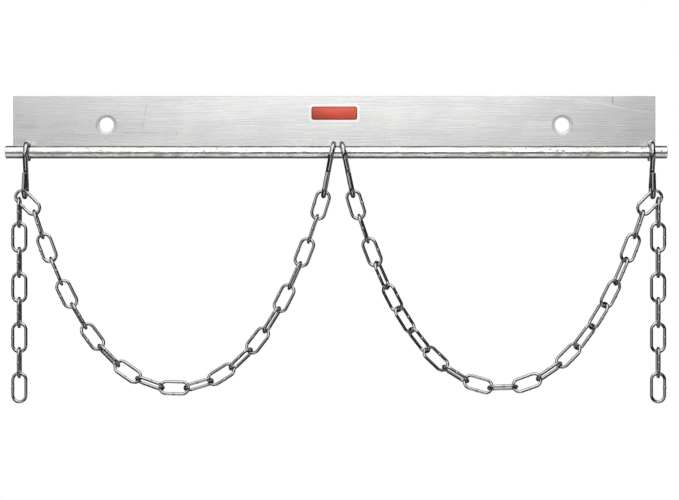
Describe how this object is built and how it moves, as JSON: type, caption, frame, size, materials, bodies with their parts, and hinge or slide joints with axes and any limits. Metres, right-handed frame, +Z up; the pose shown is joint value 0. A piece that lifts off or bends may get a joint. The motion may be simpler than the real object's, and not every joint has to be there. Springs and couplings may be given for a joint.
{
  "type": "gas cylinder wall bracket",
  "caption": "Wall bracket for gas cylinders: a back plate with a round rod in front, S-hooks on the rod, and link chains that hang in loops between the hooks.",
  "frame": {"origin": "on the wall face of the back plate, midway between its two bolt holes", "axes": "+X along the rod to the right, +Y into the wall, +Z up"},
  "size_m": [0.63, 0.0375, 0.2944],
  "materials": {
    "plate_steel": "brushed along its length",
    "rod_steel": "bright drawn, with small pits",
    "zinc_hook": "bright zinc plated",
    "zinc_chain": "bright zinc plated",
    "label_red": "gloss"
  },
  "bodies": {
    "bracket": {"back_plate": "plate_steel", "label_plate": "label_red", "front_rod": "rod_steel", "rod_block_left_end": "plate_steel", "rod_block_left_middle": "plate_steel", "rod_block_right_middle": "plate_steel", "rod_block_right_end": "plate_steel"},
    "left_loop": {"left_middle_hook": "zinc_hook", "left_end_hook": "zinc_hook", "left_loop_links_01_02": "zinc_chain", "left_loop_links_03_04": "zinc_chain", "left_loop_links_05_06": "zinc_chain", "left_loop_links_07_08": "zinc_chain", "left_loop_links_09_10": "zinc_chain", "left_loop_links_11_12": "zinc_chain", "left_loop_links_13_14": "zinc_chain", "left_loop_links_15_16": "zinc_chain", "left_loop_links_17_18": "zinc_chain", "left_loop_links_19_20": "zinc_chain", "left_hung_link": "zinc_chain"},
    "left_tail_1": {"left_tail_link_1": "zinc_chain"},
    "left_tail_2": {"left_tail_link_2": "zinc_chain"},
    "left_tail_3": {"left_tail_link_3": "zinc_chain"},
    "left_tail_4": {"left_tail_link_4": "zinc_chain"},
    "left_tail_5": {"left_tail_link_5": "zinc_chain"},
    "left_tail_6": {"left_tail_link_6": "zinc_chain"},
    "left_tail_7": {"left_tail_link_7": "zinc_chain"},
    "left_tail_8": {"left_tail_link_8": "zinc_chain"},
    "right_loop": {"right_middle_hook": "zinc_hook", "right_end_hook": "zinc_hook", "right_loop_links_01_02": "zinc_chain", "right_loop_links_03_04": "zinc_chain", "right_loop_links_05_06": "zinc_chain", "right_loop_links_07_08": "zinc_chain", "right_loop_links_09_10": "zinc_chain", "right_loop_links_11_12": "zinc_chain", "right_loop_links_13_14": "zinc_chain", "right_loop_links_15_16": "zinc_chain", "right_loop_links_17_18": "zinc_chain", "right_loop_links_19_20": "zinc_chain", "right_hung_link": "zinc_chain"},
    "right_tail_1": {"right_tail_link_1": "zinc_chain"},
    "right_tail_2": {"right_tail_link_2": "zinc_chain"},
    "right_tail_3": {"right_tail_link_3": "zinc_chain"},
    "right_tail_4": {"right_tail_link_4": "zinc_chain"},
    "right_tail_5": {"right_tail_link_5": "zinc_chain"},
    "right_tail_6": {"right_tail_link_6": "zinc_chain"},
    "right_tail_7": {"right_tail_link_7": "zinc_chain"},
    "right_tail_8": {"right_tail_link_8": "zinc_chain"}
  },
  "joints": [
    {"name": "left_loop_swing", "type": "hinge", "parent": "bracket", "child": "left_loop", "pos_m": [-0.14655, -0.025, -0.0275], "axis": [-1, 0, 0], "range_deg": [-4, 90]},
    {"name": "left_tail_1_sway", "type": "hinge", "parent": "left_loop", "child": "left_tail_1", "pos_m": [-0.30009, -0.025, -0.07129], "axis": [0, -1, 0], "range_deg": [-90, 8]},
    {"name": "left_tail_2_swing", "type": "hinge", "parent": "left_tail_1", "child": "left_tail_2", "pos_m": [-0.30009, -0.025, -0.09514], "axis": [-1, 0, 0], "range_deg": [-90, 90]},
    {"name": "left_tail_3_sway", "type": "hinge", "parent": "left_tail_2", "child": "left_tail_3", "pos_m": [-0.30009, -0.025, -0.11899], "axis": [0, 1, 0], "range_deg": [-30, 90]},
    {"name": "left_tail_4_swing", "type": "hinge", "parent": "left_tail_3", "child": "left_tail_4", "pos_m": [-0.30009, -0.025, -0.14284], "axis": [1, 0, 0], "range_deg": [-90, 90]},
    {"name": "left_tail_5_sway", "type": "hinge", "parent": "left_tail_4", "child": "left_tail_5", "pos_m": [-0.30009, -0.025, -0.16669], "axis": [0, -1, 0], "range_deg": [-90, 46]},
    {"name": "left_tail_6_swing", "type": "hinge", "parent": "left_tail_5", "child": "left_tail_6", "pos_m": [-0.30009, -0.025, -0.19054], "axis": [-1, 0, 0], "range_deg": [-90, 90]},
    {"name": "left_tail_7_sway", "type": "hinge", "parent": "left_tail_6", "child": "left_tail_7", "pos_m": [-0.30009, -0.025, -0.21439], "axis": [0, 1, 0], "range_deg": [-90, 90]},
    {"name": "left_tail_8_swing", "type": "hinge", "parent": "left_tail_7", "child": "left_tail_8", "pos_m": [-0.30009, -0.025, -0.23824], "axis": [1, 0, 0], "range_deg": [-90, 90]},
    {"name": "right_loop_swing", "type": "hinge", "parent": "bracket", "child": "right_loop", "pos_m": [0.1546, -0.025, -0.0275], "axis": [-1, 0, 0], "range_deg": [-4, 90]},
    {"name": "right_tail_1_sway", "type": "hinge", "parent": "right_loop", "child": "right_tail_1", "pos_m": [0.3086, -0.025, -0.07133], "axis": [0, 1, 0], "range_deg": [-90, 8]},
    {"name": "right_tail_2_swing", "type": "hinge", "parent": "right_tail_1", "child": "right_tail_2", "pos_m": [0.3086, -0.025, -0.09518], "axis": [-1, 0, 0], "range_deg": [-90, 90]},
    {"name": "right_tail_3_sway", "type": "hinge", "parent": "right_tail_2", "child": "right_tail_3", "pos_m": [0.3086, -0.025, -0.11903], "axis": [0, -1, 0], "range_deg": [-30, 90]},
    {"name": "right_tail_4_swing", "type": "hinge", "parent": "right_tail_3", "child": "right_tail_4", "pos_m": [0.3086, -0.025, -0.14288], "axis": [1, 0, 0], "range_deg": [-90, 90]},
    {"name": "right_tail_5_sway", "type": "hinge", "parent": "right_tail_4", "child": "right_tail_5", "pos_m": [0.3086, -0.025, -0.16673], "axis": [0, 1, 0], "range_deg": [-90, 46]},
    {"name": "right_tail_6_swing", "type": "hinge", "parent": "right_tail_5", "child": "right_tail_6", "pos_m": [0.3086, -0.025, -0.19058], "axis": [-1, 0, 0], "range_deg": [-90, 90]},
    {"name": "right_tail_7_sway", "type": "hinge", "parent": "right_tail_6", "child": "right_tail_7", "pos_m": [0.3086, -0.025, -0.21443], "axis": [0, -1, 0], "range_deg": [-90, 90]},
    {"name": "right_tail_8_swing", "type": "hinge", "parent": "right_tail_7", "child": "right_tail_8", "pos_m": [0.3086, -0.025, -0.23828], "axis": [1, 0, 0], "range_deg": [-90, 90]}
  ]
}
